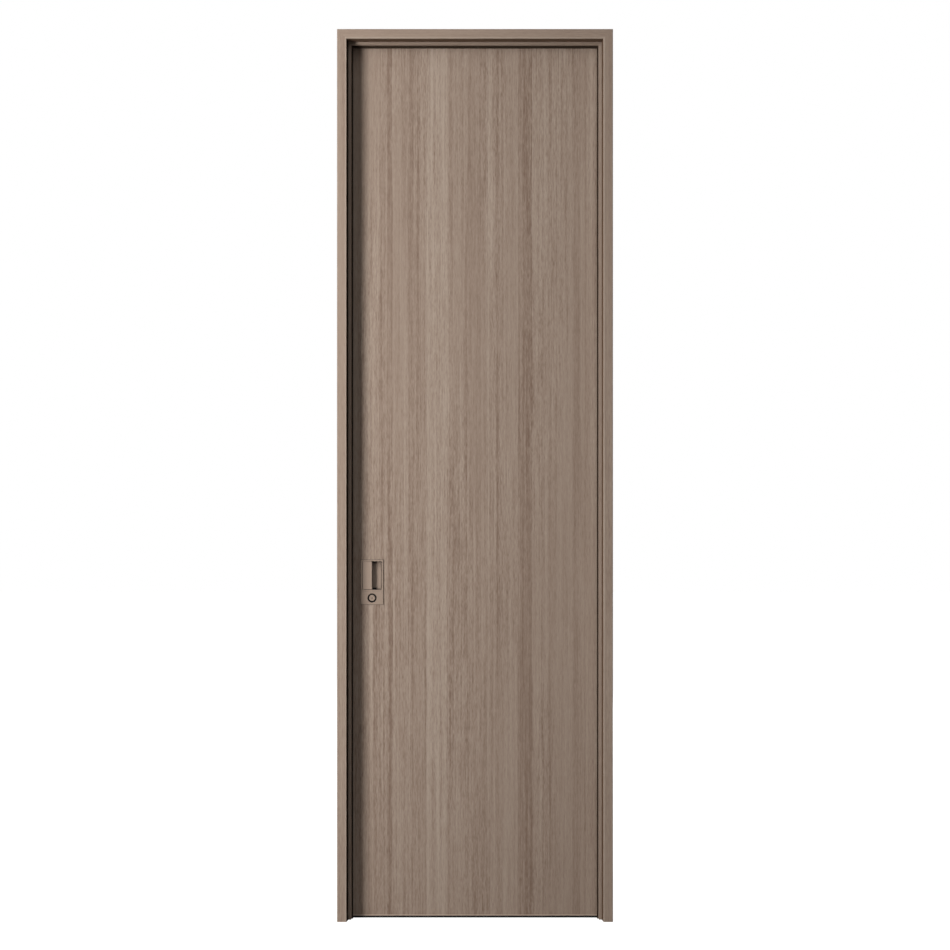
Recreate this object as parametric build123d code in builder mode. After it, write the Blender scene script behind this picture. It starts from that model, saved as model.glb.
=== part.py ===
"""Tall flush entry door: a wood-faced leaf on barrel hinges in a stepped aluminium frame.

Millimetres, +Z up. The origin lies on the wall face of the hinge jamb, at floor level and in the
middle of the wall. -Y is the push side, where the leaf lies deep behind the stop. The leaf swings
away to +Y. +X runs from the lock edge to the hinges.
"""

import os

from build123d import *

# Overall sizes of the frame
overall_width = 900.0
overall_height = 2912.0
wall_thickness = 100.0

# Casing: the narrow trim that laps onto the wall
casing_face = 31.0
casing_projection = 8.0
casing_wall_lap = 12.0
casing_wall = 2.5
casing_edge_round = 2.0

# Jamb, stop and seal, with widths measured across the opening
jamb_thickness = 22.7
jamb_wall = 2.5
jamb_rebate_wall = 5.5
reveal_depth = 38.0
reveal_lip = 0.8
stop_width = 9.5
stop_edge_chamfer = 0.6
seal_show = 5.2
seal_seat = 6.0
seal_lip = 4.8
seal_root = 2.5
seal_root_width = 3.0

# Leaf and its running gaps
leaf_thickness = 50.0
leaf_hinge_gap = 5.5
leaf_lock_gap = 7.4
leaf_head_gap = 5.5
leaf_seal_gap = 5.2
leaf_floor_gap = 8.3
panel_thickness = 6.0
edge_flange = 2.5
edge_wall = 5.5
edge_depth = 32.0
box_wall = 2.5
sweep_floor_gap = 1.0
sweep_fin = 4.0
sweep_inset = 1.5

# Barrel hinges
hinge_places = (0, 1 / 3, 2 / 3, 1)
hinge_end_distance = 200.0
hinge_length = 110.0
hinge_plate = 3.0
hinge_plate_depth = 36.0
hinge_barrel_radius = 7.0
hinge_barrel_gap = 0.5
hinge_pin_radius = 3.5
hinge_bore_clearance = 0.05
hinge_knuckle_gap = 0.3
hinge_cap_height = 4.0
hinge_cap_radius = 5.5

# Lock furniture: a flush pull over a lock plate, the same on both faces
plate_width = 73.5
plate_edge_distance = 32.5
plate_proud = 3.0
plate_corner = 1.5
pull_height = 104.0
pull_centre_height = 1127.0
pull_border = 5.0
pull_corner = 1.5
cup_depth = 17.0
cup_wall = 2.0
cup_floor = 5.0
cup_groove_width = 2.6
cup_groove_depth = 3.0
paddle_width = 30.0
paddle_gap = 1.5
paddle_thickness = 4.0
paddle_set_back = 0.6
paddle_lip_round = 1.2
paddle_pin_radius = 1.5
paddle_pin_reach = 3.0
paddle_pin_inset = 3.0
lock_plate_height = 42.6
lock_plate_gap = 0.4
well_radius = 15.0
well_depth = 9.0
turn_radius = 9.8
turn_seat_gap = 0.3
spindle_radius = 5.0
spindle_clearance = 0.05
turn_slot_width = 2.0
turn_slot_length = 6.5
turn_slot_depth = 1.2

# Lock edge: faceplate with its bolts, and the strike on the jamb
faceplate_width = 22.0
faceplate_length = 230.0
faceplate_thickness = 3.0
latch_height = 30.0
latch_width = 14.0
latch_bevel = 8.0
bolt_clearance = 0.3
bolt_reach = 12.0
dead_bolt_height = 36.0
strike_width = 26.0
strike_length = 230.0
strike_thickness = 2.0
keep_depth = 12.0
keep_margin = 2.0

# Planes of the frame, from the front of the casing to the back
front_wall_y = -wall_thickness / 2
back_wall_y = wall_thickness / 2
front_casing_y = front_wall_y - casing_projection
back_casing_y = back_wall_y + casing_projection
leaf_back_y = back_casing_y
leaf_front_y = leaf_back_y - leaf_thickness
stop_front_y = front_casing_y + reveal_depth
stop_back_y = leaf_front_y - leaf_seal_gap - seal_lip

# Places across the opening, measured inwards from the casing's outer edge
jamb_outer_u = casing_wall_lap
jamb_inner_u = casing_wall_lap + jamb_thickness
stop_inner_u = jamb_inner_u + stop_width
seal_inner_u = stop_inner_u + seal_show

# Outer corners of the casing and of the leaf
right_x = casing_wall_lap
left_x = right_x - overall_width
leaf_right_x = right_x - jamb_inner_u - leaf_hinge_gap
leaf_left_x = left_x + jamb_inner_u + leaf_lock_gap
leaf_top_z = overall_height - jamb_inner_u - leaf_head_gap
leaf_width = leaf_right_x - leaf_left_x
leaf_height = leaf_top_z - leaf_floor_gap
leaf_middle_x = (leaf_left_x + leaf_right_x) / 2
leaf_middle_y = (leaf_front_y + leaf_back_y) / 2
leaf_middle_z = leaf_floor_gap + leaf_height / 2

# Hinge axis and the heights of the hinges
hinge_x = leaf_right_x + leaf_hinge_gap / 2
hinge_y = leaf_back_y + hinge_barrel_gap + hinge_barrel_radius
hinge_span = leaf_height - 2 * hinge_end_distance
hinge_heights = [leaf_floor_gap + hinge_end_distance + place * hinge_span for place in hinge_places]

# Centres of the lock furniture
plate_x = leaf_left_x + plate_edge_distance + plate_width / 2
lock_plate_z = pull_centre_height - pull_height / 2 - lock_plate_gap - lock_plate_height / 2
pull_open_width = plate_width - 2 * pull_border
pull_open_height = pull_height - 2 * pull_border
paddle_height = pull_open_height - 2 * paddle_gap
paddle_offset = pull_open_width / 2 - paddle_gap - paddle_width / 2
paddle_pin_x = plate_x - pull_open_width / 2 + paddle_gap + paddle_pin_inset
paddle_pin_depth = plate_proud - paddle_set_back - paddle_thickness / 2
bolts = (
    ("latch_bolt", pull_centre_height, latch_height),
    ("dead_bolt", lock_plate_z, dead_bolt_height),
)

os.makedirs("parts", exist_ok=True)


def keep(part, name):
    """Label a finished piece and write it as its own file."""
    part.label = name
    export_step(part, f"parts/{name}.step")


# Each side of the frame: a section plane whose X runs into the opening, a length and its mitres
right_mitre = Plane(origin=(right_x, 0, overall_height), z_dir=(1, 0, -1))
left_mitre = Plane(origin=(left_x, 0, overall_height), z_dir=(1, 0, 1))
frame_sides = {
    "hinge_side": (
        Plane(origin=(right_x, 0, 0), x_dir=(-1, 0, 0), z_dir=(0, 0, -1)),
        -overall_height,
        [(right_mitre, Keep.TOP)],
    ),
    "strike_side": (
        Plane(origin=(left_x, 0, 0), x_dir=(1, 0, 0), z_dir=(0, 0, 1)),
        overall_height,
        [(left_mitre, Keep.BOTTOM)],
    ),
    "head": (
        Plane(origin=(left_x, 0, overall_height), x_dir=(0, 0, -1), z_dir=(1, 0, 0)),
        overall_width,
        [(left_mitre, Keep.TOP), (right_mitre, Keep.BOTTOM)],
    ),
}


def casing_outline(wall_y, outward):
    """Section of a casing: a strip that lies on the jamb and laps the wall with a hollow back."""
    show_y = wall_y + outward * casing_projection
    hollow_y = show_y - outward * casing_wall
    return [
        (0, wall_y),
        (0, show_y),
        (casing_face, show_y),
        (casing_face, wall_y),
        (casing_wall_lap, wall_y),
        (casing_wall_lap, hollow_y),
        (casing_wall, hollow_y),
        (casing_wall, wall_y),
    ]


frame_sections = {
    "front_casing": casing_outline(front_wall_y, -1),
    "back_casing": casing_outline(back_wall_y, 1),
    "jamb": [
        (jamb_outer_u, front_wall_y),
        (casing_face + reveal_lip, front_wall_y),
        (jamb_inner_u, stop_front_y),
        (jamb_inner_u, back_wall_y),
        (jamb_outer_u, back_wall_y),
    ],
    "stop": [
        (jamb_inner_u, stop_front_y),
        (stop_inner_u - stop_edge_chamfer, stop_front_y),
        (stop_inner_u, stop_front_y + stop_edge_chamfer),
        (stop_inner_u, stop_back_y),
        (stop_inner_u - seal_seat + seal_root_width, stop_back_y),
        (stop_inner_u - seal_seat + seal_root_width, stop_back_y - seal_root),
        (stop_inner_u - seal_seat, stop_back_y - seal_root),
        (stop_inner_u - seal_seat, stop_back_y),
        (jamb_inner_u, stop_back_y),
    ],
    "seal": [
        (stop_inner_u - seal_seat, stop_back_y - seal_root),
        (stop_inner_u - seal_seat + seal_root_width, stop_back_y - seal_root),
        (stop_inner_u - seal_seat + seal_root_width, stop_back_y),
        (seal_inner_u, stop_back_y),
        (seal_inner_u, stop_back_y + seal_lip / 2),
        (stop_inner_u, stop_back_y + seal_lip),
        (stop_inner_u - seal_seat, stop_back_y + seal_lip),
    ],
}

chamber_inner_u = jamb_inner_u - jamb_rebate_wall
chamber_outer_u = jamb_outer_u + jamb_wall
jamb_chambers = [
    [
        (chamber_outer_u, front_wall_y + jamb_wall),
        (casing_face + reveal_lip - jamb_rebate_wall, front_wall_y + jamb_wall),
        (chamber_inner_u, stop_front_y),
        (chamber_inner_u, -jamb_wall / 2),
        (chamber_outer_u, -jamb_wall / 2),
    ],
    [
        (chamber_outer_u, jamb_wall / 2),
        (chamber_inner_u, jamb_wall / 2),
        (chamber_inner_u, back_wall_y - jamb_wall),
        (chamber_outer_u, back_wall_y - jamb_wall),
    ],
]

for piece, outline in frame_sections.items():
    for side, (plane, length, mitres) in frame_sides.items():
        with BuildPart() as member:
            with BuildSketch(plane) as section:
                with BuildLine():
                    Polyline(*outline, close=True)
                make_face()
                if piece == "front_casing":
                    fillet(section.vertices().group_by(Axis.Y)[0], casing_edge_round)
                if piece == "back_casing":
                    fillet(section.vertices().group_by(Axis.Y)[-1], casing_edge_round)
                if piece == "jamb":
                    for chamber in jamb_chambers:
                        with BuildLine():
                            Polyline(*chamber, close=True)
                        make_face(mode=Mode.SUBTRACT)
            extrude(amount=length)
            for mitre, kept_side in mitres:
                split(bisect_by=mitre, keep=kept_side)
            if (piece, side) == ("jamb", "hinge_side"):
                # Mortises for the hinge plates, open at the back edge of the jamb
                mortise_y = leaf_back_y - hinge_plate_depth
                mortise_x = right_x - jamb_inner_u
                for height in hinge_heights:
                    with Locations((mortise_x, mortise_y, height)):
                        Box(
                            hinge_plate,
                            back_wall_y - mortise_y,
                            hinge_length,
                            align=(Align.MIN, Align.MIN, Align.CENTER),
                            mode=Mode.SUBTRACT,
                        )
            if (piece, side) == ("jamb", "strike_side"):
                # Seat of the strike plate, with a keep behind it for each bolt
                strike_x = left_x + jamb_inner_u
                with Locations((strike_x, leaf_middle_y, pull_centre_height)):
                    Box(
                        strike_thickness,
                        strike_width,
                        strike_length,
                        align=(Align.MAX, Align.CENTER, Align.CENTER),
                        mode=Mode.SUBTRACT,
                    )
                for _, bolt_z, bolt_height in bolts:
                    with Locations((strike_x, leaf_middle_y, bolt_z)):
                        Box(
                            keep_depth,
                            latch_width + 2 * keep_margin,
                            bolt_height + 2 * keep_margin,
                            align=(Align.MAX, Align.CENTER, Align.CENTER),
                            mode=Mode.SUBTRACT,
                        )
        keep(member.part, f"{piece}_{side}")

# Leaf edge frame: mitred aluminium boxes whose outer flange wraps the edges of both panels
edge_outline = [
    (0, leaf_front_y),
    (edge_flange, leaf_front_y),
    (edge_flange, leaf_front_y + panel_thickness),
    (edge_depth, leaf_front_y + panel_thickness),
    (edge_depth, leaf_back_y - panel_thickness),
    (edge_flange, leaf_back_y - panel_thickness),
    (edge_flange, leaf_back_y),
    (0, leaf_back_y),
]
edge_hollow = [
    (edge_wall, leaf_front_y + panel_thickness + box_wall),
    (edge_depth - box_wall, leaf_front_y + panel_thickness + box_wall),
    (edge_depth - box_wall, leaf_back_y - panel_thickness - box_wall),
    (edge_wall, leaf_back_y - panel_thickness - box_wall),
]
top_right = Plane(origin=(leaf_right_x, 0, leaf_top_z), z_dir=(1, 0, -1))
top_left = Plane(origin=(leaf_left_x, 0, leaf_top_z), z_dir=(1, 0, 1))
bottom_right = Plane(origin=(leaf_right_x, 0, leaf_floor_gap), z_dir=(1, 0, 1))
bottom_left = Plane(origin=(leaf_left_x, 0, leaf_floor_gap), z_dir=(1, 0, -1))
leaf_edges = {
    "leaf_hinge_stile": (
        Plane(origin=(leaf_right_x, 0, leaf_floor_gap), x_dir=(-1, 0, 0), z_dir=(0, 0, -1)),
        -leaf_height,
        [(top_right, Keep.TOP), (bottom_right, Keep.TOP)],
    ),
    "leaf_lock_stile": (
        Plane(origin=(leaf_left_x, 0, leaf_floor_gap), x_dir=(1, 0, 0), z_dir=(0, 0, 1)),
        leaf_height,
        [(top_left, Keep.BOTTOM), (bottom_left, Keep.BOTTOM)],
    ),
    "leaf_top_rail": (
        Plane(origin=(leaf_left_x, 0, leaf_top_z), x_dir=(0, 0, -1), z_dir=(1, 0, 0)),
        leaf_width,
        [(top_left, Keep.TOP), (top_right, Keep.BOTTOM)],
    ),
    "leaf_bottom_rail": (
        Plane(origin=(leaf_left_x, 0, leaf_floor_gap), x_dir=(0, 0, 1), z_dir=(-1, 0, 0)),
        -leaf_width,
        [(bottom_left, Keep.TOP), (bottom_right, Keep.BOTTOM)],
    ),
}
for name, (plane, length, mitres) in leaf_edges.items():
    with BuildPart() as edge_member:
        with BuildSketch(plane):
            with BuildLine():
                Polyline(*edge_outline, close=True)
            make_face()
            with BuildLine():
                Polyline(*edge_hollow, close=True)
            make_face(mode=Mode.SUBTRACT)
        extrude(amount=length)
        for mitre, kept_side in mitres:
            split(bisect_by=mitre, keep=kept_side)
        if name == "leaf_hinge_stile":
            for hinge_height in hinge_heights:
                with Locations((leaf_right_x, leaf_back_y - hinge_plate_depth, hinge_height)):
                    Box(
                        hinge_plate,
                        hinge_plate_depth,
                        hinge_length,
                        align=(Align.MAX, Align.MIN, Align.CENTER),
                        mode=Mode.SUBTRACT,
                    )
        if name == "leaf_lock_stile":
            with Locations((leaf_left_x, leaf_middle_y, pull_centre_height)):
                Box(
                    faceplate_thickness,
                    faceplate_width,
                    faceplate_length,
                    align=(Align.MIN, Align.CENTER, Align.CENTER),
                    mode=Mode.SUBTRACT,
                )
            for _, bolt_z, bolt_height in bolts:
                with Locations((leaf_left_x, leaf_middle_y, bolt_z)):
                    Box(
                        bolt_reach,
                        latch_width + 2 * bolt_clearance,
                        bolt_height + 2 * bolt_clearance,
                        align=(Align.MIN, Align.CENTER, Align.CENTER),
                        mode=Mode.SUBTRACT,
                    )
    keep(edge_member.part, name)

# Face planes of the leaf, seen from outside: local X, sense of the hinge side, outward normal
faces = {
    "front": (Plane(origin=(0, leaf_front_y, 0), x_dir=(1, 0, 0), z_dir=(0, -1, 0)), 1),
    "back": (Plane(origin=(0, leaf_back_y, 0), x_dir=(-1, 0, 0), z_dir=(0, 1, 0)), -1),
}
for face_name, (face, sense) in faces.items():
    with BuildPart() as panel:
        with BuildSketch(face):
            with Locations((sense * leaf_middle_x, leaf_middle_z)):
                Rectangle(leaf_width - 2 * edge_flange, leaf_height - 2 * edge_flange)
            with Locations((sense * plate_x, pull_centre_height)):
                Rectangle(
                    pull_open_width + 2 * cup_wall, pull_open_height + 2 * cup_wall, mode=Mode.SUBTRACT
                )
            with Locations((sense * plate_x, lock_plate_z)):
                Circle(well_radius + cup_wall, mode=Mode.SUBTRACT)
        extrude(amount=-panel_thickness)
        if face_name == "back":
            for hinge_height in hinge_heights:
                with Locations((leaf_right_x, leaf_back_y, hinge_height)):
                    Box(
                        hinge_plate,
                        panel_thickness,
                        hinge_length,
                        align=(Align.MAX, Align.MAX, Align.CENTER),
                        mode=Mode.SUBTRACT,
                    )
    keep(panel.part, f"leaf_{face_name}_panel")

    # Flush pull: a raised rim round a cup, with the paddle over the half nearer the lock edge
    with BuildPart() as pull:
        with BuildSketch(face):
            with Locations((sense * plate_x, pull_centre_height)):
                RectangleRounded(plate_width, pull_height, plate_corner)
        extrude(amount=plate_proud)
        with BuildSketch(face):
            with Locations((sense * plate_x, pull_centre_height)):
                Rectangle(pull_open_width + 2 * cup_wall, pull_open_height + 2 * cup_wall)
        extrude(amount=-(cup_depth + cup_floor))
        with BuildSketch(face.offset(plate_proud)):
            with Locations((sense * plate_x, pull_centre_height)):
                RectangleRounded(pull_open_width, pull_open_height, pull_corner)
        extrude(amount=-(plate_proud + cup_depth), mode=Mode.SUBTRACT)
        with BuildSketch(face.offset(-cup_depth)):
            with Locations((sense * plate_x, pull_centre_height)):
                RectangleRounded(pull_open_width, pull_open_height, pull_corner)
                Rectangle(
                    pull_open_width - 2 * cup_groove_width,
                    pull_open_height - 2 * cup_groove_width,
                    mode=Mode.SUBTRACT,
                )
        extrude(amount=-cup_groove_depth, mode=Mode.SUBTRACT)
        with BuildSketch(Plane.XY.offset(pull_centre_height)):
            with Locations((paddle_pin_x, face.origin.Y + face.z_dir.Y * paddle_pin_depth)):
                Circle(paddle_pin_radius + spindle_clearance)
        extrude(amount=paddle_height / 2 + paddle_pin_reach, both=True, mode=Mode.SUBTRACT)
    keep(pull.part, f"{face_name}_pull_cup")

    with BuildPart() as paddle:
        with BuildSketch(face.offset(plate_proud - paddle_set_back)):
            with Locations((sense * (plate_x - paddle_offset), pull_centre_height)):
                Rectangle(paddle_width, paddle_height)
        extrude(amount=-paddle_thickness)
        lip = paddle.edges().filter_by(Axis.Z).group_by(Axis.X)[-1]
        fillet(lip.sort_by(Axis.Y)[0 if face_name == "front" else -1], paddle_lip_round)
        with BuildSketch(Plane.XY.offset(pull_centre_height)):
            with Locations((paddle_pin_x, face.origin.Y + face.z_dir.Y * paddle_pin_depth)):
                Circle(paddle_pin_radius)
        extrude(amount=paddle_height / 2 + paddle_pin_reach, both=True)
    keep(paddle.part, f"{face_name}_pull_paddle")

    # Lock plate: a flat plate with a round well that holds the turn
    with BuildPart() as lock_plate:
        with BuildSketch(face):
            with Locations((sense * plate_x, lock_plate_z)):
                Rectangle(plate_width, lock_plate_height)
        extrude(amount=plate_proud)
        with BuildSketch(face):
            with Locations((sense * plate_x, lock_plate_z)):
                Circle(well_radius + cup_wall)
        extrude(amount=-(well_depth + cup_wall))
        with BuildSketch(face.offset(plate_proud)):
            with Locations((sense * plate_x, lock_plate_z)):
                Circle(well_radius)
        extrude(amount=-(plate_proud + well_depth), mode=Mode.SUBTRACT)
        with BuildSketch(face.offset(plate_proud)):
            with Locations((sense * plate_x, lock_plate_z)):
                Circle(spindle_radius + spindle_clearance)
        extrude(amount=-(plate_proud + well_depth + cup_wall), mode=Mode.SUBTRACT)
    keep(lock_plate.part, f"{face_name}_lock_plate")

    # Turn: a disc with a coin slot on its half of the spindle
    with BuildPart() as turn:
        with BuildSketch(face.offset(plate_proud)):
            with Locations((sense * plate_x, lock_plate_z)):
                Circle(turn_radius)
        extrude(amount=-(plate_proud + well_depth - turn_seat_gap))
        with BuildSketch(face.offset(plate_proud)):
            with Locations((sense * plate_x, lock_plate_z)):
                Circle(spindle_radius)
        extrude(amount=-(plate_proud + leaf_thickness / 2))
        with BuildSketch(face.offset(plate_proud)):
            with Locations((sense * plate_x, lock_plate_z)):
                Rectangle(turn_slot_width, turn_slot_length)
        extrude(amount=-turn_slot_depth, mode=Mode.SUBTRACT)
    keep(turn.part, f"{face_name}_lock_turn")

# Sweep under the leaf: two fins on a root let into the bottom rail
with BuildPart() as sweep:
    with BuildSketch(Plane.YZ.offset(leaf_left_x)):
        with Locations((leaf_front_y + sweep_inset, sweep_floor_gap)):
            Rectangle(sweep_fin, leaf_floor_gap - sweep_floor_gap, align=(Align.MIN, Align.MIN))
        with Locations((leaf_middle_y, leaf_floor_gap)):
            Rectangle(
                leaf_thickness - 2 * sweep_inset,
                (leaf_floor_gap - sweep_floor_gap) / 2,
                align=(Align.CENTER, Align.MAX),
            )
        with Locations((leaf_back_y - sweep_inset, sweep_floor_gap)):
            Rectangle(sweep_fin, leaf_floor_gap - sweep_floor_gap, align=(Align.MAX, Align.MIN))
    extrude(amount=leaf_width)
keep(sweep.part, "leaf_bottom_sweep")

# Lock edge of the leaf
with BuildPart() as faceplate:
    with Locations((leaf_left_x, leaf_middle_y, pull_centre_height)):
        Box(
            faceplate_thickness,
            faceplate_width,
            faceplate_length,
            align=(Align.MIN, Align.CENTER, Align.CENTER),
        )
    for _, bolt_z, bolt_height in bolts:
        with Locations((leaf_left_x, leaf_middle_y, bolt_z)):
            Box(
                faceplate_thickness,
                latch_width + 2 * bolt_clearance,
                bolt_height + 2 * bolt_clearance,
                align=(Align.MIN, Align.CENTER, Align.CENTER),
                mode=Mode.SUBTRACT,
            )
keep(faceplate.part, "lock_faceplate")

for bolt_name, bolt_z, bolt_height in bolts:
    with BuildPart() as bolt:
        with Locations((leaf_left_x, leaf_middle_y, bolt_z)):
            Box(bolt_reach, latch_width, bolt_height, align=(Align.MIN, Align.CENTER, Align.CENTER))
        if bolt_name == "latch_bolt":
            # The nose slopes on the side that meets the strike as the leaf closes
            nose = bolt.edges().filter_by(Axis.Z).group_by(Axis.X)[0].sort_by(Axis.Y)[0]
            chamfer(nose, latch_bevel)
    keep(bolt.part, bolt_name)

with BuildPart() as strike:
    with Locations((left_x + jamb_inner_u, leaf_middle_y, pull_centre_height)):
        Box(
            strike_thickness,
            strike_width,
            strike_length,
            align=(Align.MAX, Align.CENTER, Align.CENTER),
        )
    for _, bolt_z, bolt_height in bolts:
        with Locations((left_x + jamb_inner_u, leaf_middle_y, bolt_z)):
            Box(
                strike_thickness,
                latch_width + 2 * keep_margin,
                bolt_height + 2 * keep_margin,
                align=(Align.MAX, Align.CENTER, Align.CENTER),
                mode=Mode.SUBTRACT,
            )
keep(strike.part, "strike_plate")

# Barrel hinges: the outer knuckles on the frame plate, the middle one on the leaf plate
knuckle_length = (hinge_length - 2 * hinge_knuckle_gap) / 3
middle_half = knuckle_length / 2
for number, height in enumerate(hinge_heights, start=1):
    plate_reach = hinge_y - (leaf_back_y - hinge_plate_depth)
    with BuildPart() as frame_plate:
        with Locations((right_x - jamb_inner_u, leaf_back_y - hinge_plate_depth, height)):
            Box(
                hinge_plate,
                plate_reach,
                hinge_length,
                align=(Align.MIN, Align.MIN, Align.CENTER),
            )
        with Locations((hinge_x, hinge_y, height)):
            Cylinder(hinge_barrel_radius, hinge_length)
            Cylinder(
                hinge_barrel_radius + hinge_knuckle_gap,
                knuckle_length + 2 * hinge_knuckle_gap,
                mode=Mode.SUBTRACT,
            )
            Cylinder(hinge_pin_radius + hinge_bore_clearance, hinge_length, mode=Mode.SUBTRACT)
    keep(frame_plate.part, f"hinge_{number}_frame_plate")

    with BuildPart() as leaf_plate:
        with Locations((leaf_right_x, leaf_back_y - hinge_plate_depth, height)):
            Box(
                hinge_plate,
                hinge_plate_depth,
                hinge_length,
                align=(Align.MAX, Align.MIN, Align.CENTER),
            )
            Box(
                hinge_plate,
                plate_reach,
                knuckle_length,
                align=(Align.MAX, Align.MIN, Align.CENTER),
            )
        with Locations((hinge_x, hinge_y, height)):
            Cylinder(hinge_barrel_radius, knuckle_length)
            Cylinder(hinge_pin_radius + hinge_bore_clearance, knuckle_length, mode=Mode.SUBTRACT)
    keep(leaf_plate.part, f"hinge_{number}_leaf_plate")

    with BuildPart() as pin:
        with Locations((hinge_x, hinge_y, height)):
            Cylinder(hinge_pin_radius, hinge_length)
        for end in (-1, 1):
            with Locations((hinge_x, hinge_y, height + end * (hinge_length + hinge_cap_height) / 2)):
                Cylinder(hinge_cap_radius, hinge_cap_height)
    keep(pin.part, f"hinge_{number}_pin")
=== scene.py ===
"""Studio view of a tall flush door: procedural finishes, small fixings, light and camera."""

import math

import bmesh
import bpy
from mathutils import Matrix, Vector


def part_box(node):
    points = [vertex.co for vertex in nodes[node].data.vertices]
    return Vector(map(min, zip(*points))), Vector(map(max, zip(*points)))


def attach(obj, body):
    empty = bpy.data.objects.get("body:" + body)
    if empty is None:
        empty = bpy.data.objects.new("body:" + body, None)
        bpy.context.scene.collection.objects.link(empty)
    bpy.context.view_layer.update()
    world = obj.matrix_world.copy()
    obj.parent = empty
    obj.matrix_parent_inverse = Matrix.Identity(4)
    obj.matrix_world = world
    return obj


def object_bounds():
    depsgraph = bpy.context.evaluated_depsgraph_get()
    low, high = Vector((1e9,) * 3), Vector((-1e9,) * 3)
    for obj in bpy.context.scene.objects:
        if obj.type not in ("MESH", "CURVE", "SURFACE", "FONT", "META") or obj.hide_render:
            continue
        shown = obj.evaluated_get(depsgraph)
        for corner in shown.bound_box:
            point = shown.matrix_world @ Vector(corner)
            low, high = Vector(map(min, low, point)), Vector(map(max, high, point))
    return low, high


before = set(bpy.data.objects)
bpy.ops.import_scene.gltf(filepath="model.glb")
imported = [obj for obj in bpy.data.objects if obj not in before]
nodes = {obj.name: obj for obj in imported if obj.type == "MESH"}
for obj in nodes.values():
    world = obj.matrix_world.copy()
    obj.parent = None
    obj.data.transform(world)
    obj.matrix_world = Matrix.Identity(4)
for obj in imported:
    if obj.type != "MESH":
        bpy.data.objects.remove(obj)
box_at_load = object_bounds()

# Places read from the frame, in metres
STOP_FRONT_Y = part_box("stop_head")[0].y
LEAF_FRONT, LEAF_BACK = (corner.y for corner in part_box("leaf_hinge_stile"))
LEAF_MIDDLE_Y = (LEAF_FRONT + LEAF_BACK) / 2
PLATE_FACE_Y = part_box("front_lock_plate")[0].y
CASING_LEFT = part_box("front_casing_strike_side")[1].x
CASING_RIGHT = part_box("front_casing_hinge_side")[0].x
CASING_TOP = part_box("front_casing_head")[0].z
DOOR_FRONT_Y = box_at_load[0].y
DOOR_MIDDLE_X = (CASING_LEFT + CASING_RIGHT) / 2

# Faces of the leaf: name, outward direction along Y and place
LEAF_FACES = (("front", -1, LEAF_FRONT), ("back", 1, LEAF_BACK))

# Layers of the wood grain: cells in a metre across and along it, detail, place in the noise
GRAIN_LAYERS = {
    "broad": (9.0, 0.12, 1.0, (8.6, 1.7, 0.4)),
    "columns": (26.0, 0.16, 1.0, (6.1, 4.1, 8.2)),
    "lines": (136.0, 0.64, 1.0, (2.9, 6.6, 4.8)),
    "streaks": (60.0, 1.6, 2.0, (7.7, 2.3, 5.9)),
    "fibres": (300.0, 36.0, 1.0, (1.3, 9.1, 2.7)),
    "pores": (1300.0, 55.0, 1.0, (8.5, 3.7, 6.2)),
    "liveliness": (7.0, 0.5, 1.0, (4.4, 8.8, 1.1)),
}

# How strongly the layers show, and how much the fine ones fade and grow from calm to lively
BROAD_WEIGHTS = {"broad": 0.28, "columns": 0.28}
FINE_WEIGHTS = {"lines": 0.52, "streaks": 0.68, "fibres": 0.76, "pores": 0.45}
LIVELINESS_NOISE = (0.38, 0.62)
LIVELINESS = (0.65, 1.35)

# Tone of the grain: the darkest and lightest wood as shares of its colour, and their tones
MIDDLE_TONE = 0.5
DARK_TONE, DARK_GRAIN = 0.08, (0.63, 0.56, 0.53)
LIGHT_TONE, LIGHT_GRAIN = 0.92, (1.27, 1.35, 1.39)

# Veneer bands across the leaf as (start, end, change of tone), and how far their joints wander
VENEER_BANDS = (
    (-0.728, -0.711, -0.16),
    (-0.596, -0.53, 0.18),
    (-0.297, -0.25, -0.22),
    (-0.119, -0.089, -0.1),
)
BAND_WANDER = 0.016

# Pores: how far they move the roughness, and how deep they are
PORE_SHEEN = 0.12
PORE_BUMP = {"Strength": 0.08, "Distance": 0.0003}

# Casings have a painted highlight along their inner edge, and the lock side's reveal has painted
# shade
CASING_HIGHLIGHT_WIDTH = 0.005
PAINTED_HIGHLIGHT_LIFT = 0.3
PAINTED_SHADE_SHARE = (0.15, 0.15, 0.15)

# A face is turned along an axis where its normal has at least this share of it
TURNED = 0.5

# Mottling of plain finishes: cells in a metre, and its reach round the roughness
MOTTLE_SCALE = (240.0, 240.0, 240.0)
MOTTLE_REACH = 0.05

# Colours, and what the finishes of the wood share
WOOD = (0.272, 0.204, 0.159)
DARK_WOOD = (0.104, 0.067, 0.046)
BRONZE = (0.268, 0.2, 0.154)
# Bronze of the flap, lighter than the rest as painted light
PAINTED_LIGHT_FLAP_BRONZE = (0.293, 0.219, 0.17)
# Painted shade in the hollows of the pull and lock
RECESS_SHADE = (0.012, 0.009, 0.008)
WHITE = (1.0, 1.0, 1.0, 1.0)
LEAF_FINISH = {"roughness": 0.62, "specular": 0.1}
FRAME_FINISH = {"roughness": 0.6, "specular": 0.1, "contrast": 0.6}
DARK_FINISH = {"roughness": 0.7, "specular": 0.0, "contrast": 0.6}

# Plated metal of the pull and lock, how far behind the plate's face it has painted shade, and
# its edges
PLATED_ROUGHNESS = 0.5
PLATED_SPECULAR = 0.25
CUP_DARK_DEPTH = 0.0035
TURN_DARK_DEPTH = 0.0005
PLATE_EDGE_EASE = 0.0006
PLATE_EDGE_STEPS = 2
SHARP_ANGLE = math.radians(40)

# Gasket round the pull and lock plate
GASKET = 0.0007

# Black blocks of painted shade at the ends of the finger recess, and the part of the cup round
# them
SHADE_BLOCK_WIDTH = 0.013
SHADE_BLOCK_HEIGHT = 0.006
SHADE_BLOCK_THICKNESS = 0.0015
SHADE_BLOCK_CLEARANCE = 0.001
PULL_BORDER = 0.005
CUP_FLOOR = 0.005

# Lip of the head seal, which also widens the dark line under the head stop as painted shade
LIP_ROOT_Y = 0.003
LIP_DROP = 0.0018
LIP_THICKNESS = 0.0008
LIP_CLEARANCE = 0.0002

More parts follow.
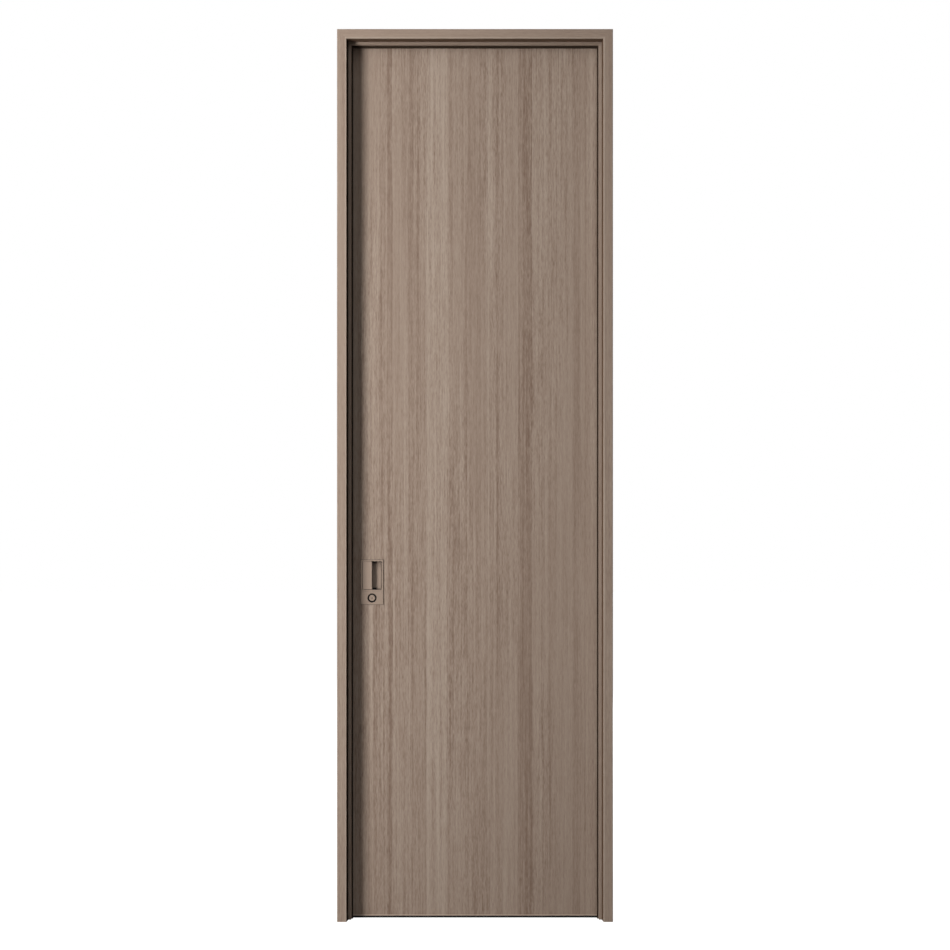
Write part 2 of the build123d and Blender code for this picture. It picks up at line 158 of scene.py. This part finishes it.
# Screw heads with a cross recess
SCREW_RADIUS = 0.004
SCREW_RIM_RADIUS = 0.0034
SCREW_RISE = 0.0005
CROSS_FLOOR_RISE = 0.0001
CROSS_ARM = 0.0023
CROSS_HALF_WIDTH = 0.0006

# Screws of a hinge plate as shares of its length and width, and of a faceplate from its ends
HINGE_SCREWS = ((-0.4, 0.27), (-0.14, 0.61), (0.14, 0.61), (0.4, 0.27))
END_DISTANCE = 0.011

# Floor and world: the floor's glow from the door to its reach, and the world's light on the door
FLOOR_SIZE = 40.0
FLOOR_COLOUR = (0.42, 0.42, 0.42, 1.0)
FLOOR_GLOW = (0.94, 1.0)
FLOOR_GLOW_REACH = (0.6, 2.5)
WORLD_LIGHT = 0.03

# Camera, from the front of the casing
CAMERA_DISTANCE = 7.17
CAMERA_HEIGHT = 1.4576
CAMERA_LENS = 83.33
CAMERA_SENSOR = 36.0


def new_material(name):
    """An empty node material with its shader and output."""
    material = bpy.data.materials.new(name)
    material.use_nodes = True
    tree = material.node_tree
    tree.nodes.clear()
    output = tree.nodes.new("ShaderNodeOutputMaterial")
    shader = tree.nodes.new("ShaderNodeBsdfPrincipled")
    tree.links.new(shader.outputs["BSDF"], output.inputs["Surface"])
    return material, tree, shader


def set_inputs(node, values):
    """Set a node's own sockets by name."""
    for name, value in values.items():
        node.inputs[name].default_value = value


def stretched_noise(tree, coords, scale, detail, roughness, offset=(0.0, 0.0, 0.0)):
    """Noise whose cells are drawn out along the grain."""
    mapping = tree.nodes.new("ShaderNodeMapping")
    set_inputs(mapping, {"Scale": scale, "Location": offset})
    noise = tree.nodes.new("ShaderNodeTexNoise")
    set_inputs(noise, {"Scale": 1.0, "Detail": detail, "Roughness": roughness})
    tree.links.new(coords, mapping.inputs["Vector"])
    tree.links.new(mapping.outputs["Vector"], noise.inputs["Vector"])
    return noise.outputs["Fac"]


def ramp(tree, fac, stops):
    """Colour ramp over a factor."""
    node = tree.nodes.new("ShaderNodeValToRGB")
    elements = node.color_ramp.elements
    while len(elements) < len(stops):
        elements.new(0.5)
    for element, (place, colour) in zip(elements, stops):
        element.position = place
        element.color = (*colour, 1.0)
    tree.links.new(fac, node.inputs["Fac"])
    return node.outputs["Color"]


def arithmetic(tree, operation, *values):
    """A maths node over sockets and plain numbers."""
    node = tree.nodes.new("ShaderNodeMath")
    node.operation = operation
    for socket, value in zip(node.inputs, values):
        if isinstance(value, (int, float)):
            socket.default_value = value
        else:
            tree.links.new(value, socket)
    return node.outputs[0]


def map_range(tree, value, target, source=(0.0, 1.0)):
    """A value carried from one range to another and held at its ends."""
    node = tree.nodes.new("ShaderNodeMapRange")
    set_inputs(node, {"From Min": source[0], "From Max": source[1]})
    set_inputs(node, {"To Min": target[0], "To Max": target[1]})
    tree.links.new(value, node.inputs["Value"])
    return node.outputs["Result"]


def split(tree, vector):
    """The X, Y and Z of a vector."""
    node = tree.nodes.new("ShaderNodeSeparateXYZ")
    tree.links.new(vector, node.inputs["Vector"])
    return node.outputs


def scaled(colour, shares):
    """A colour with each channel times a share."""
    return tuple(channel * share for channel, share in zip(colour, shares))


def grain_noise(tree, coords, along):
    """The noise of every grain layer, drawn out along Z or X."""
    noise = {}
    for layer, (across, length, detail, offset) in GRAIN_LAYERS.items():
        scale = (across, across, length) if along == "Z" else (length, across, across)
        noise[layer] = stretched_noise(tree, coords, scale, detail, 1.0, offset)
    return noise


def add_layers(tree, tone, noise, weights, contrast):
    """A tone moved by noise layers, each about its middle."""
    for layer, weight in weights.items():
        centred = arithmetic(tree, "SUBTRACT", noise[layer], 0.5)
        tone = arithmetic(tree, "MULTIPLY_ADD", centred, contrast * weight, tone)
    return tone


def grain_tone(tree, noise, contrast):
    """The tone of the wood, with calm stretches between the ones with much fine grain."""
    fine = add_layers(tree, 0.0, noise, FINE_WEIGHTS, contrast)
    liveliness = map_range(tree, noise["liveliness"], LIVELINESS, LIVELINESS_NOISE)
    tone = add_layers(tree, MIDDLE_TONE, noise, BROAD_WEIGHTS, contrast)
    return arithmetic(tree, "MULTIPLY_ADD", fine, liveliness, tone)


def add_bands(tree, tone, noise, place, bands):
    """A tone changed within veneer bands, whose joints wander with the streaks."""
    wander = arithmetic(tree, "MULTIPLY_ADD", noise["streaks"], BAND_WANDER, place["X"])
    for start, end, change in bands:
        beyond = arithmetic(tree, "GREATER_THAN", wander, start + BAND_WANDER / 2)
        short = arithmetic(tree, "LESS_THAN", wander, end + BAND_WANDER / 2)
        within = arithmetic(tree, "MULTIPLY", beyond, short)
        tone = arithmetic(tree, "MULTIPLY_ADD", within, change, tone)
    return tone


def paint_edge_highlight(tree, tone, place, highlight_width):
    """Painted highlight: a tone lifted along the inner edge of the casing."""
    reach = (CASING_RIGHT - CASING_LEFT) / 2 + highlight_width
    sideways = arithmetic(tree, "SUBTRACT", place["X"], DOOR_MIDDLE_X)
    sideways = arithmetic(tree, "ABSOLUTE", sideways)
    between = arithmetic(tree, "LESS_THAN", sideways, reach)
    under = arithmetic(tree, "LESS_THAN", place["Z"], CASING_TOP + highlight_width)
    edge = arithmetic(tree, "MULTIPLY", between, under)
    return arithmetic(tree, "MULTIPLY_ADD", edge, PAINTED_HIGHLIGHT_LIFT, tone)


def paint_reveal_shade(tree, tone, normal, place, before):
    """Painted shade: a tone of 0 on the face that looks along +X before a plane."""
    turned = arithmetic(tree, "LESS_THAN", split(tree, normal)["X"], TURNED)
    behind = arithmetic(tree, "GREATER_THAN", place["Y"], before)
    clear = arithmetic(tree, "MAXIMUM", turned, behind)
    return arithmetic(tree, "MULTIPLY", clear, tone)


def grain_material(
    name, along, base, roughness, specular, contrast=1.0, bands=(), highlight_width=0.0, shade_before=None
):
    """Straight-grained wood with its grain along Z or X.

    It may have veneer bands, a painted highlight along its inner edge or painted shade on its
    reveal before a plane.
    """
    material, tree, shader = new_material(name)
    set_inputs(shader, {"Specular IOR Level": specular})
    texture = tree.nodes.new("ShaderNodeTexCoord").outputs
    place = split(tree, texture["Object"])
    noise = grain_noise(tree, texture["Object"], along)
    tone = grain_tone(tree, noise, contrast)
    stops = [
        (DARK_TONE, scaled(base, DARK_GRAIN)),
        (MIDDLE_TONE, base),
        (LIGHT_TONE, scaled(base, LIGHT_GRAIN)),
    ]
    if bands:
        tone = add_bands(tree, tone, noise, place, bands)
    if highlight_width:
        tone = paint_edge_highlight(tree, tone, place, highlight_width)
    if shade_before is not None:
        tone = paint_reveal_shade(tree, tone, texture["Normal"], place, shade_before)
        stops.insert(0, (0.0, scaled(base, PAINTED_SHADE_SHARE)))
    tree.links.new(ramp(tree, tone, stops), shader.inputs["Base Color"])
    dullest = roughness + PORE_SHEEN / 2
    sheen = arithmetic(tree, "MULTIPLY_ADD", noise["pores"], -PORE_SHEEN, dullest)
    tree.links.new(sheen, shader.inputs["Roughness"])
    bump = tree.nodes.new("ShaderNodeBump")
    set_inputs(bump, PORE_BUMP)
    tree.links.new(noise["pores"], bump.inputs["Height"])
    tree.links.new(bump.outputs["Normal"], shader.inputs["Normal"])
    return material


def mottle_roughness(tree, shader, coords, roughness):
    """A faint fine mottling round a roughness."""
    mottle = stretched_noise(tree, coords, MOTTLE_SCALE, detail=2.0, roughness=0.5)
    reach = (roughness - MOTTLE_REACH, roughness + MOTTLE_REACH)
    tree.links.new(map_range(tree, mottle, reach), shader.inputs["Roughness"])


def plain_material(name, colour, roughness, metallic=0.0, specular=0.5):
    """One even colour with a faint mottling in its roughness."""
    material, tree, shader = new_material(name)
    set_inputs(shader, {"Base Color": (*colour, 1.0), "Metallic": metallic})
    set_inputs(shader, {"Specular IOR Level": specular})
    coords = tree.nodes.new("ShaderNodeTexCoord").outputs["Object"]
    mottle_roughness(tree, shader, coords, roughness)
    return material


def lock_material(name, colour, depth, walls_only):
    """Plated metal with painted shade where it lies deeper than a depth behind the plate's face.
    """
    material, tree, shader = new_material(name)
    set_inputs(shader, {"Specular IOR Level": PLATED_SPECULAR})
    texture = tree.nodes.new("ShaderNodeTexCoord").outputs
    mottle_roughness(tree, shader, texture["Object"], PLATED_ROUGHNESS)
    place = split(tree, texture["Object"])
    from_middle = arithmetic(tree, "SUBTRACT", place["Y"], LEAF_MIDDLE_Y)
    from_middle = arithmetic(tree, "ABSOLUTE", from_middle)
    shaded = arithmetic(tree, "LESS_THAN", from_middle, LEAF_MIDDLE_Y - PLATE_FACE_Y - depth)
    if walls_only:
        outward = arithmetic(tree, "ABSOLUTE", split(tree, texture["Normal"])["Y"])
        wall = arithmetic(tree, "LESS_THAN", outward, TURNED)
        shaded = arithmetic(tree, "MULTIPLY", shaded, wall)
    stops = [(0.4, colour), (0.6, RECESS_SHADE)]
    tree.links.new(ramp(tree, shaded, stops), shader.inputs["Base Color"])
    return material


wood_upright = grain_material("wood_upright", "Z", WOOD, **LEAF_FINISH, bands=VENEER_BANDS)
finish_upright = grain_material("finish_upright", "Z", WOOD, **FRAME_FINISH)
finish_level = grain_material("finish_level", "X", WOOD, **FRAME_FINISH)
# Casings with a painted highlight along their inner edge
casing_upright = grain_material("casing_upright", "Z", WOOD, **FRAME_FINISH, highlight_width=CASING_HIGHLIGHT_WIDTH)
casing_level = grain_material("casing_level", "X", WOOD, **FRAME_FINISH, highlight_width=CASING_HIGHLIGHT_WIDTH)
dark_upright = grain_material("dark_upright", "Z", DARK_WOOD, **DARK_FINISH)
dark_level = grain_material("dark_level", "X", DARK_WOOD, **DARK_FINISH)
# The lock side's jamb, with painted shade on its reveal before the stop
strike_reveal_painted_shade = grain_material(
    "strike_reveal_painted_shade", "Z", DARK_WOOD, **DARK_FINISH, shade_before=STOP_FRONT_Y
)
edge_metal = plain_material("edge_metal", (0.48, 0.365, 0.285), roughness=0.45, specular=0.4)
# Metals of the pull and lock, with painted shade in their hollows
cup_metal = lock_material("cup_metal", BRONZE, CUP_DARK_DEPTH, walls_only=True)
# The flap's bronze is lighter as painted light
flap_metal = lock_material("flap_metal", PAINTED_LIGHT_FLAP_BRONZE, CUP_DARK_DEPTH, walls_only=True)
turn_metal = lock_material("turn_metal", BRONZE, TURN_DARK_DEPTH, walls_only=False)
steel = plain_material("satin_steel", (0.23, 0.21, 0.195), roughness=0.6, metallic=0.75)
rubber = plain_material("black_rubber", (0.018, 0.017, 0.016), roughness=0.8, specular=0.1)
brown_rubber = plain_material(
    "brown_rubber", (0.033, 0.0225, 0.0155), roughness=0.8, specular=0.05
)
screw_steel = plain_material("screw_steel", (0.3, 0.275, 0.255), roughness=0.5, metallic=0.75)


def finish_of(name):
    """The material of a CAD node."""
    if name.startswith("seal_"):
        return brown_rubber
    if name == "leaf_bottom_sweep":
        return rubber
    if name == "jamb_strike_side":
        return strike_reveal_painted_shade
    if name.startswith("jamb"):
        return dark_level if name.endswith("head") else dark_upright
    if name.startswith("front_casing"):
        return casing_level if name.endswith("head") else casing_upright
    if name.startswith(("back_casing", "stop")):
        return finish_level if name.endswith("head") else finish_upright
    if name.endswith("_panel"):
        return wood_upright
    if name.startswith("leaf_"):
        return edge_metal
    if name.startswith(("hinge_", "strike_plate", "lock_faceplate", "latch_bolt", "dead_bolt")):
        return steel
    if name.endswith("_pull_paddle"):
        return flap_metal
    return cup_metal if name.endswith("_pull_cup") else turn_metal


def round_edges(obj):
    """Ease the sharp edges of a node."""
    bevel = obj.modifiers.new("eased_edges", "BEVEL")
    bevel.width = PLATE_EDGE_EASE
    bevel.segments = PLATE_EDGE_STEPS
    bevel.limit_method = "ANGLE"
    bevel.angle_limit = SHARP_ANGLE


def keep_piece(mesh_builder, name, material, body):
    """Turn a finished mesh into a piece that rides on a body."""
    mesh = bpy.data.meshes.new(name)
    mesh_builder.to_mesh(mesh)
    mesh_builder.free()
    piece = bpy.data.objects.new(name, mesh)
    bpy.context.collection.objects.link(piece)
    mesh.materials.append(material)
    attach(piece, body)


def add_block(builder, low, high):
    """A plain block between two corners."""
    centre = (Vector(low) + Vector(high)) / 2
    size = Vector(high) - Vector(low)
    placing = Matrix.Translation(centre) @ Matrix.Diagonal((*size, 1.0))
    bmesh.ops.create_cube(builder, matrix=placing)


def add_skin(builder, outlines):
    """A closed skin over outlines of equal count, with the first and the last filled."""
    rings = [[builder.verts.new(corner) for corner in outline] for outline in outlines]
    faces = [builder.faces.new(rings[0]), builder.faces.new(rings[-1])]
    for lower, upper in zip(rings, rings[1:]):
        for step in range(len(lower)):
            side = (lower[step - 1], lower[step], upper[step], upper[step - 1])
            faces.append(builder.faces.new(side))
    bmesh.ops.recalc_face_normals(builder, faces=faces)


def add_screw(builder, centre, outward):
    """A low screw head with a cross recess, facing along X."""
    half = CROSS_HALF_WIDTH
    quarter = [(CROSS_ARM, -half), (CROSS_ARM, half), (half, half)]
    cross = []
    for _ in range(4):
        cross += quarter
        quarter = [(-z, y) for y, z in quarter]
    # The circle has a corner for each one of the cross
    angles = [math.radians(30 * step - 15) for step in range(12)]
    circle = [(math.cos(angle), math.sin(angle)) for angle in angles]
    levels = (
        ([(SCREW_RADIUS * y, SCREW_RADIUS * z) for y, z in circle], 0.0),
        ([(SCREW_RIM_RADIUS * y, SCREW_RIM_RADIUS * z) for y, z in circle], SCREW_RISE),
        (cross, SCREW_RISE),
        (cross, CROSS_FLOOR_RISE),
    )
    outlines = []
    for outline, rise in levels:
        outlines.append([centre + Vector((outward * rise, y, z)) for y, z in outline])
    add_skin(builder, outlines)


def add_end_screws(builder, x, low_z, high_z, outward):
    """A screw near each end of an upright plate in the leaf's middle plane."""
    for z in (low_z + END_DISTANCE, high_z - END_DISTANCE):
        add_screw(builder, Vector((x, LEAF_MIDDLE_Y, z)), outward)


def any_ray(tree, first, *others):
    """1 for rays of any of the kinds named, 0 for the rest."""
    path = tree.nodes.new("ShaderNodeLightPath")
    seen = path.outputs[first]
    for other in others:
        seen = arithmetic(tree, "MAXIMUM", seen, path.outputs[other])
    return seen


def add_floor():
    """A floor that is white to the eye and keeps the door's shadow."""
    bpy.ops.mesh.primitive_plane_add(size=FLOOR_SIZE, location=(DOOR_MIDDLE_X, 0.0, 0.0))
    floor = bpy.context.object
    floor.name = "studio_floor"
    material, tree, shader = new_material("studio_white")
    set_inputs(shader, {"Base Color": FLOOR_COLOUR, "Roughness": 0.9})
    set_inputs(shader, {"Specular IOR Level": 0.0, "Emission Color": WHITE})
    coords = tree.nodes.new("ShaderNodeTexCoord").outputs["Object"]
    distance = tree.nodes.new("ShaderNodeVectorMath")
    distance.operation = "LENGTH"
    tree.links.new(coords, distance.inputs[0])
    glow = map_range(tree, distance.outputs["Value"], FLOOR_GLOW, FLOOR_GLOW_REACH)
    seen = any_ray(tree, "Is Camera Ray", "Is Glossy Ray")
    strength = arithmetic(tree, "MULTIPLY", glow, seen)
    tree.links.new(strength, shader.inputs["Emission Strength"])
    floor.data.materials.append(material)


def add_world():
    """A world that is white to the eye and lights the door a little."""
    world = bpy.data.worlds.new("studio_world")
    bpy.context.scene.world = world
    world.use_nodes = True
    tree = world.node_tree
    tree.nodes.clear()
    output = tree.nodes.new("ShaderNodeOutputWorld")
    background = tree.nodes.new("ShaderNodeBackground")
    set_inputs(background, {"Color": WHITE})
    seen = any_ray(tree, "Is Camera Ray", "Is Transmission Ray", "Is Glossy Ray")
    level = map_range(tree, seen, (WORLD_LIGHT, 1.0))
    tree.links.new(level, background.inputs["Strength"])
    tree.links.new(background.outputs["Background"], output.inputs["Surface"])


def area_light(name, place, target_height, size, power):
    """A rectangular soft light aimed at the middle of the door at a height."""
    light = bpy.data.lights.new(name, "AREA")
    light.shape = "RECTANGLE"
    light.size, light.size_y = size
    light.energy = power
    holder = bpy.data.objects.new(name, light)
    bpy.context.collection.objects.link(holder)
    holder.location = place
    aim = Vector((DOOR_MIDDLE_X, 0.0, target_height)) - Vector(place)
    holder.rotation_euler = aim.to_track_quat("-Z", "Y").to_euler()


def add_camera():
    """A camera square to the door, level with its middle."""
    data = bpy.data.cameras.new("camera")
    data.sensor_width = CAMERA_SENSOR
    data.lens = CAMERA_LENS
    camera = bpy.data.objects.new("camera", data)
    bpy.context.collection.objects.link(camera)
    camera.location = (DOOR_MIDDLE_X, DOOR_FRONT_Y - CAMERA_DISTANCE, CAMERA_HEIGHT)
    camera.rotation_euler = (math.radians(90), 0.0, 0.0)
    bpy.context.scene.camera = camera


for name, node in nodes.items():
    node.data.materials.clear()
    node.data.materials.append(finish_of(name))
    if name.endswith(("_pull_cup", "_pull_paddle", "_lock_plate")):
        round_edges(node)

# Thin gasket that shows round the pull and the lock plate on each face
for face, outward, surface in LEAF_FACES:
    _, pull_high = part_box(f"{face}_pull_cup")
    plate_low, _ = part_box(f"{face}_lock_plate")
    near, far = sorted((surface, surface + outward * GASKET))
    left, right = plate_low.x, pull_high.x
    bottom, top = plate_low.z, pull_high.z
    builder = bmesh.new()
    add_block(builder, (left - GASKET, near, bottom - GASKET), (left, far, top + GASKET))
    add_block(builder, (right, near, bottom - GASKET), (right + GASKET, far, top + GASKET))
    add_block(builder, (left, near, bottom - GASKET), (right, far, bottom))
    add_block(builder, (left, near, top), (right, far, top + GASKET))
    keep_piece(builder, f"{face}_plate_gasket", rubber, "leaf")

# Black blocks of painted shade at both ends of the finger recess, beside the free edge of the
# flap
for face, outward, _ in LEAF_FACES:
    cup_low, cup_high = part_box(f"{face}_pull_cup")
    paddle_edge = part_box(f"{face}_pull_paddle")[1].x + SHADE_BLOCK_CLEARANCE
    floor_y = cup_high.y - CUP_FLOOR if face == "front" else cup_low.y + CUP_FLOOR
    near, far = sorted((floor_y, floor_y + outward * SHADE_BLOCK_THICKNESS))
    low_z, high_z = cup_low.z + PULL_BORDER, cup_high.z - PULL_BORDER
    builder = bmesh.new()
    for start, end in ((low_z, low_z + SHADE_BLOCK_HEIGHT), (high_z - SHADE_BLOCK_HEIGHT, high_z)):
        add_block(builder, (paddle_edge, near, start), (paddle_edge + SHADE_BLOCK_WIDTH, far, end))
    keep_piece(builder, f"{face}_recess_shade_blocks", rubber, "leaf")

# Lip of the head seal, which slopes back to just before the leaf; it closes the gap and also
# widens the dark line under the head stop as painted shade
seal_low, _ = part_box("seal_head")
lip_ends = (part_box("seal_strike_side")[1].x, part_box("seal_hinge_side")[0].x)
root_y, root_z = seal_low.y + LIP_ROOT_Y, seal_low.z + LIP_CLEARANCE
tip_y, tip_z = LEAF_FRONT - LIP_CLEARANCE, seal_low.z - LIP_DROP
lip_section = [
    (root_y, root_z),
    (tip_y, tip_z),
    (tip_y, tip_z + LIP_THICKNESS),
    (root_y, root_z + LIP_THICKNESS),
]
builder = bmesh.new()
add_skin(builder, [[(x, y, z) for y, z in lip_section] for x in lip_ends])
keep_piece(builder, "head_seal_lip", brown_rubber, "frame")

# Screws of the hinge plates, two rows staggered down each plate
jamb_face_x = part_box("jamb_hinge_side")[0].x
leaf_edge_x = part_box("leaf_hinge_stile")[1].x
frame_screws = bmesh.new()
leaf_screws = bmesh.new()
hinge_count = sum(name.endswith("_pin") for name in nodes)
for number in range(1, hinge_count + 1):
    low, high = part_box(f"hinge_{number}_leaf_plate")
    for along, across in HINGE_SCREWS:
        y = low.y + across * (LEAF_BACK - low.y)
        z = (low.z + high.z) / 2 + along * (high.z - low.z)
        add_screw(frame_screws, Vector((jamb_face_x, y, z)), -1)
        add_screw(leaf_screws, Vector((leaf_edge_x, y, z)), 1)

# Screws at both ends of the faceplate and of the strike
low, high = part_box("lock_faceplate")
add_end_screws(leaf_screws, low.x, low.z, high.z, -1)
low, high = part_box("strike_plate")
add_end_screws(frame_screws, high.x, low.z, high.z, 1)
keep_piece(frame_screws, "frame_screws", screw_steel, "frame")
keep_piece(leaf_screws, "leaf_screws", screw_steel, "leaf")

# Floor, world, lights and camera
add_floor()
add_world()
area_light("key", (-2.66, -2.06, 2.0), target_height=1.5, size=(0.75, 4.0), power=144.0)
area_light("fill", (DOOR_MIDDLE_X, -7.0, 8.5), target_height=1.4, size=(3.5, 6.5), power=182.0)
area_light("back_fill", (2.2, 6.5, 2.2), target_height=1.4, size=(2.5, 3.0), power=380.0)
add_camera()
bpy.context.scene.view_settings.view_transform = "Standard"
